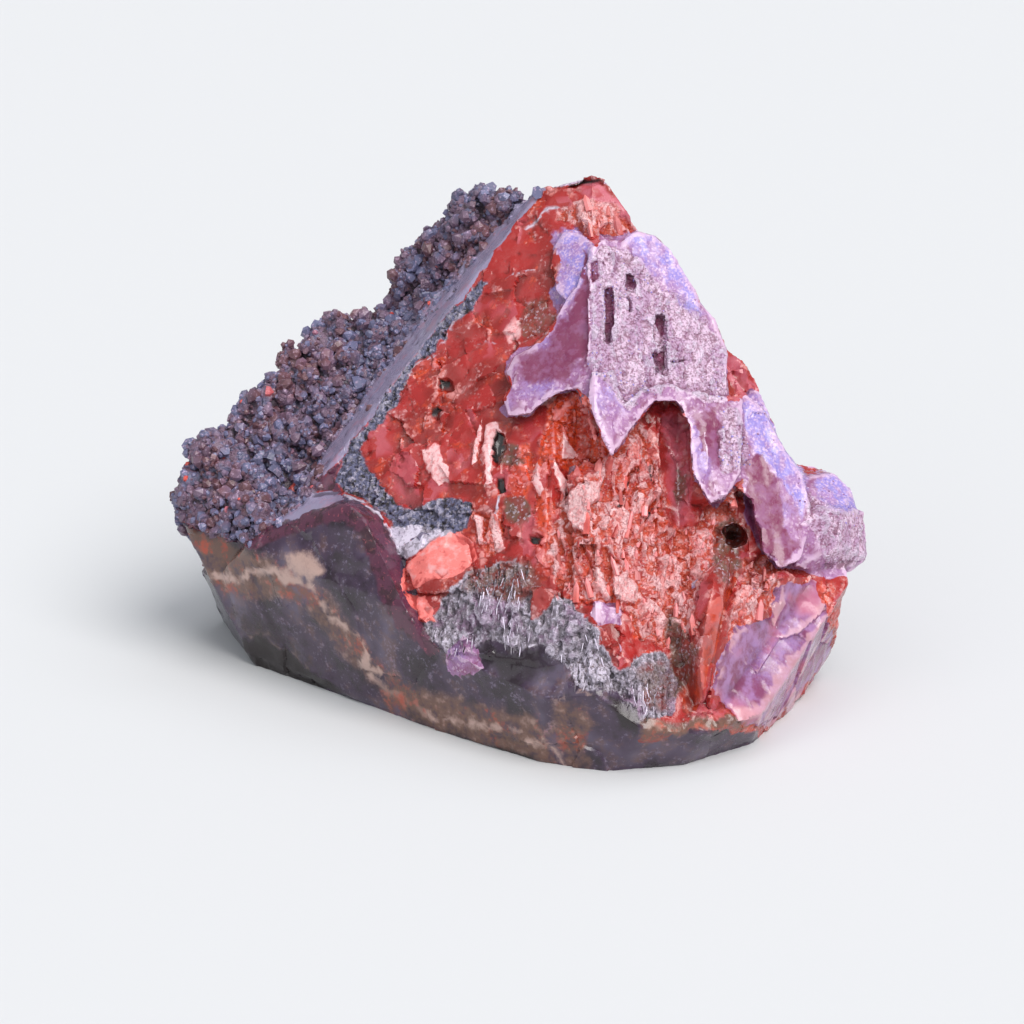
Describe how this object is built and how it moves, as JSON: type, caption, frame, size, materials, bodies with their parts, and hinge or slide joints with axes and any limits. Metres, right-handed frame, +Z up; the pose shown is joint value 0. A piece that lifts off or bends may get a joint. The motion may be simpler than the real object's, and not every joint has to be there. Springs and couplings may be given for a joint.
{
  "type": "amethyst crystal",
  "caption": "Rough amethyst point with red hematite under its faces, a lavender second growth, a drusy flank and a smoky broken foot.",
  "frame": {"origin": "middle of the bounding box in X and Y, on the flat base that the stone rests on", "axes": "+Z up along the large point's long axis, -Y towards the side that the picture shows, +X to its right, the stone's longest way"},
  "size_m": [0.0724, 0.064, 0.051],
  "materials": {
    "quartz": "satin, glassy in places"
  },
  "bodies": {
    "root": {"amethyst": "quartz"}
  },
  "joints": []
}
